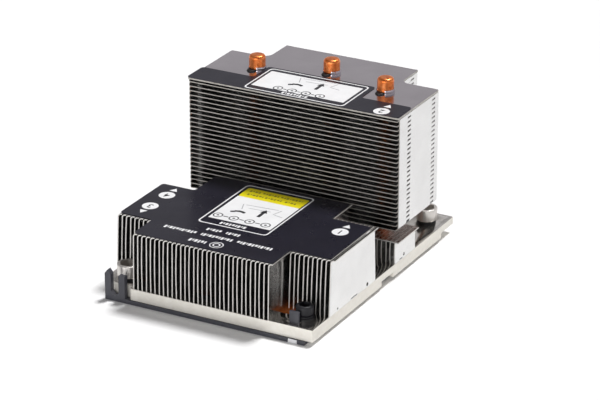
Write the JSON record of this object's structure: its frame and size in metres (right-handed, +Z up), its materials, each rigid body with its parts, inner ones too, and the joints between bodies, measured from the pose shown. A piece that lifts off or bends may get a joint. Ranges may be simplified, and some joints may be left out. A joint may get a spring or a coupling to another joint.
{
  "type": "processor heatsink",
  "caption": "Passive heatsink for a rack server processor: low fin pack on a base plate, tall fin stack on copper heat pipes, captive nuts and a plastic carrier frame",
  "frame": {"origin": "middle of the bounding box's footprint, on the surface that the part stands on", "axes": "+X to the right seen from the front, +Y from the low pack to the tall stack and along the air flow, +Z up from the processor"},
  "size_m": [0.0864, 0.1106, 0.066],
  "materials": {
    "nickel_plate": "bright nickel-like plating over a fine machined surface",
    "fin_sheet": "bright thin sheet",
    "top_sheet": "smooth satin sheet",
    "copper": "bare copper, slightly dulled",
    "dark_plastic": "moulded dark plastic",
    "black_nylon": "black nylon",
    "label": "dark slate printed film, satin",
    "nut_steel": "nickel-plated steel",
    "black_nut": "black oxide",
    "clip_steel": "spring steel"
  },
  "bodies": {
    "heatsink": {"base_plate": "nickel_plate", "carrier_frame": "dark_plastic", "heat_pipe_left": "copper", "heat_pipe_middle": "copper", "heat_pipe_right": "copper", "left_wing_fins": "fin_sheet", "centre_pack_fins": "fin_sheet", "right_wing_fins": "fin_sheet", "rear_row_fins": "fin_sheet", "stack_fin_01": "fin_sheet", "stack_fin_02": "fin_sheet", "stack_fin_03": "fin_sheet", "stack_fin_04": "fin_sheet", "stack_fin_05": "fin_sheet", "stack_fin_06": "fin_sheet", "stack_fin_07": "fin_sheet", "stack_fin_08": "fin_sheet", "stack_fin_09": "fin_sheet", "stack_fin_10": "fin_sheet", "stack_fin_11": "fin_sheet", "stack_fin_12": "fin_sheet", "stack_fin_13": "fin_sheet", "stack_fin_14": "fin_sheet", "stack_fin_15": "fin_sheet", "stack_fin_16": "fin_sheet", "stack_fin_17": "fin_sheet", "stack_fin_18": "fin_sheet", "stack_fin_19": "fin_sheet", "stack_fin_20": "fin_sheet", "stack_fin_21": "fin_sheet", "stack_fin_22": "fin_sheet", "stack_fin_23": "fin_sheet", "stack_fin_24": "fin_sheet", "stack_fin_25": "fin_sheet", "stack_top_plate": "top_sheet", "low_label": "label", "tall_label": "label", "nut_washers": "black_nylon"},
    "captive_nut_front_left": {"nut_front_left": "nut_steel", "nut_clip_front_left": "clip_steel"},
    "captive_nut_front_right": {"nut_front_right": "black_nut", "nut_clip_front_right": "clip_steel"},
    "captive_nut_rear_left": {"nut_rear_left": "nut_steel", "nut_clip_rear_left": "clip_steel"},
    "captive_nut_rear_right": {"nut_rear_right": "nut_steel", "nut_clip_rear_right": "clip_steel"}
  },
  "joints": [
    {"name": "turn_nut_front_left", "type": "hinge", "parent": "heatsink", "child": "captive_nut_front_left", "pos_m": [-0.03536, -0.04665, 0.00675], "axis": [0, 0, 1], "continuous": true},
    {"name": "turn_nut_front_right", "type": "hinge", "parent": "heatsink", "child": "captive_nut_front_right", "pos_m": [0.03454, -0.04665, 0.00675], "axis": [0, 0, 1], "continuous": true},
    {"name": "turn_nut_rear_left", "type": "hinge", "parent": "heatsink", "child": "captive_nut_rear_left", "pos_m": [-0.03536, 0.04735, 0.00675], "axis": [0, 0, 1], "continuous": true},
    {"name": "turn_nut_rear_right", "type": "hinge", "parent": "heatsink", "child": "captive_nut_rear_right", "pos_m": [0.03454, 0.04735, 0.00675], "axis": [0, 0, 1], "continuous": true}
  ]
}
